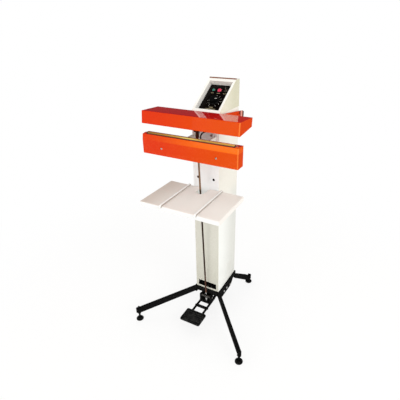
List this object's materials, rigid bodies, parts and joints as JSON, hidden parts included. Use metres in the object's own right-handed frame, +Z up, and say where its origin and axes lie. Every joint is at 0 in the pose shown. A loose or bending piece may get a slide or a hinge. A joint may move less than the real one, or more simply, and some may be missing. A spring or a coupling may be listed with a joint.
{
  "type": "foot-pedal bag sealer",
  "caption": "Floor-standing impulse bag sealer: a column on splayed legs carries a fixed heated jaw and a hinged upper jaw pulled shut through a rod by a foot pedal.",
  "frame": {"origin": "on the floor, midway between the front and rear feet and on the column's mid-plane", "axes": "+X to the right seen from the front, +Y to the rear, +Z up; the front is the side of the jaws, the table and the pedal"},
  "size_m": [0.601, 0.5745, 1.18],
  "materials": {
    "black_paint": "satin black enamel",
    "cream_paint": "cream baked enamel, light orange peel",
    "table_paint": "warm white enamel",
    "orange_paint": "gloss orange-red enamel",
    "zinc_steel": "bright zinc plate",
    "black_screw": "blacked steel",
    "brown_steel": "dull browned steel bar",
    "foot_rubber": "black moulded foot on a blacked stud",
    "black_rubber": "ribbed black rubber",
    "black_plastic": "black panel",
    "black_knob": "moulded black knob",
    "transformer_iron": "varnished laminations and winding",
    "board_green": "circuit board",
    "red_lens": "red lamp lens",
    "green_lens": "green lamp lens",
    "chrome_lever": "chromed switch lever",
    "bar_aluminium": "drawn aluminium",
    "amber_film": "amber glass-cloth film over the heating strip",
    "black_lead": "sheathed lead",
    "silicone": "red-brown silicone rubber"
  },
  "bodies": {
    "stand": {"base_frame": "black_paint", "gussets": "black_paint", "gusset_bolts": "zinc_steel", "pedal_shaft": "zinc_steel", "leg_front_left": "black_paint", "leg_front_right": "black_paint", "leg_rear_left": "black_paint", "leg_rear_right": "black_paint", "foot_front_left": "foot_rubber", "foot_front_right": "foot_rubber", "foot_rear_left": "foot_rubber", "foot_rear_right": "foot_rubber", "column_shell": "cream_paint", "column_screws": "black_screw", "column_back": "cream_paint", "foot_plate": "black_paint", "tie_bar": "brown_steel", "yoke_shaft": "zinc_steel", "transformer": "transformer_iron", "cable_gland": "black_plastic", "control_box": "cream_paint", "control_panel": "black_plastic", "timer_board": "board_green", "lamp_red": "red_lens", "lamp_green": "green_lens", "switch_body": "zinc_steel", "lower_jaw_body": "orange_paint", "lower_jaw_screws": "zinc_steel", "lower_jaw_ends": "orange_paint", "heater_bar": "bar_aluminium", "cover_strip": "amber_film", "end_blocks": "orange_paint", "jaw_support": "cream_paint", "jaw_support_bolts": "zinc_steel", "heater_lead": "black_lead", "lead_grommets": "black_rubber", "work_table": "table_paint", "table_guides": "table_paint", "table_brackets": "cream_paint", "table_bolts": "zinc_steel", "spring_anchor": "zinc_steel", "return_spring": "zinc_steel"},
    "upper_jaw": {"upper_cover": "orange_paint", "silicone_strip": "silicone", "press_bar": "bar_aluminium", "yoke": "orange_paint", "tie_channel": "black_paint", "clevis_pin": "zinc_steel"},
    "pull_rod": {"rod_eye": "brown_steel", "pull_rod": "brown_steel", "trunnion": "zinc_steel", "rod_nuts": "zinc_steel"},
    "pedal": {"pedal_bar_left": "black_paint", "pedal_bar_right": "black_paint", "pedal_web": "black_paint", "pedal_rung": "black_paint", "pad_plate": "black_paint", "pedal_tread": "black_rubber"},
    "time_knob": {"time_knob": "black_knob"},
    "switch_lever": {"switch_lever": "chrome_lever"}
  },
  "joints": [
    {"name": "jaw_hinge", "type": "hinge", "parent": "stand", "child": "upper_jaw", "pos_m": [0, 0.131, 1.019], "axis": [1, 0, 0], "range_deg": [0, 7], "stiffness_Nm_per_rad": 60, "springref_deg": -17.19, "deforming": ["return_spring"]},
    {"name": "rod_hinge", "type": "hinge", "parent": "upper_jaw", "child": "pull_rod", "pos_m": [0, -0.112, 1.012], "axis": [1, 0, 0], "range_deg": [-7.05, 0]},
    {"name": "pedal_hinge", "type": "hinge", "parent": "stand", "child": "pedal", "pos_m": [0, 0.086, 0.101], "axis": [1, 0, 0], "range_deg": [0, 11.95]},
    {"name": "knob_turn", "type": "hinge", "parent": "stand", "child": "time_knob", "pos_m": [0, 0.04032, 1.09721], "axis": [0, -0.5618, 0.8273], "range_deg": [-60, 240]},
    {"name": "switch_toggle", "type": "hinge", "parent": "stand", "child": "switch_lever", "pos_m": [0.03, 0.09189, 1.13163], "axis": [1, 0, 0], "range_deg": [0, 22]}
  ],
  "couplings": [
    {"joint": "pedal_hinge", "follows": "jaw_hinge", "ratio": 1.702},
    {"joint": "rod_hinge", "follows": "jaw_hinge", "ratio": -1}
  ]
}
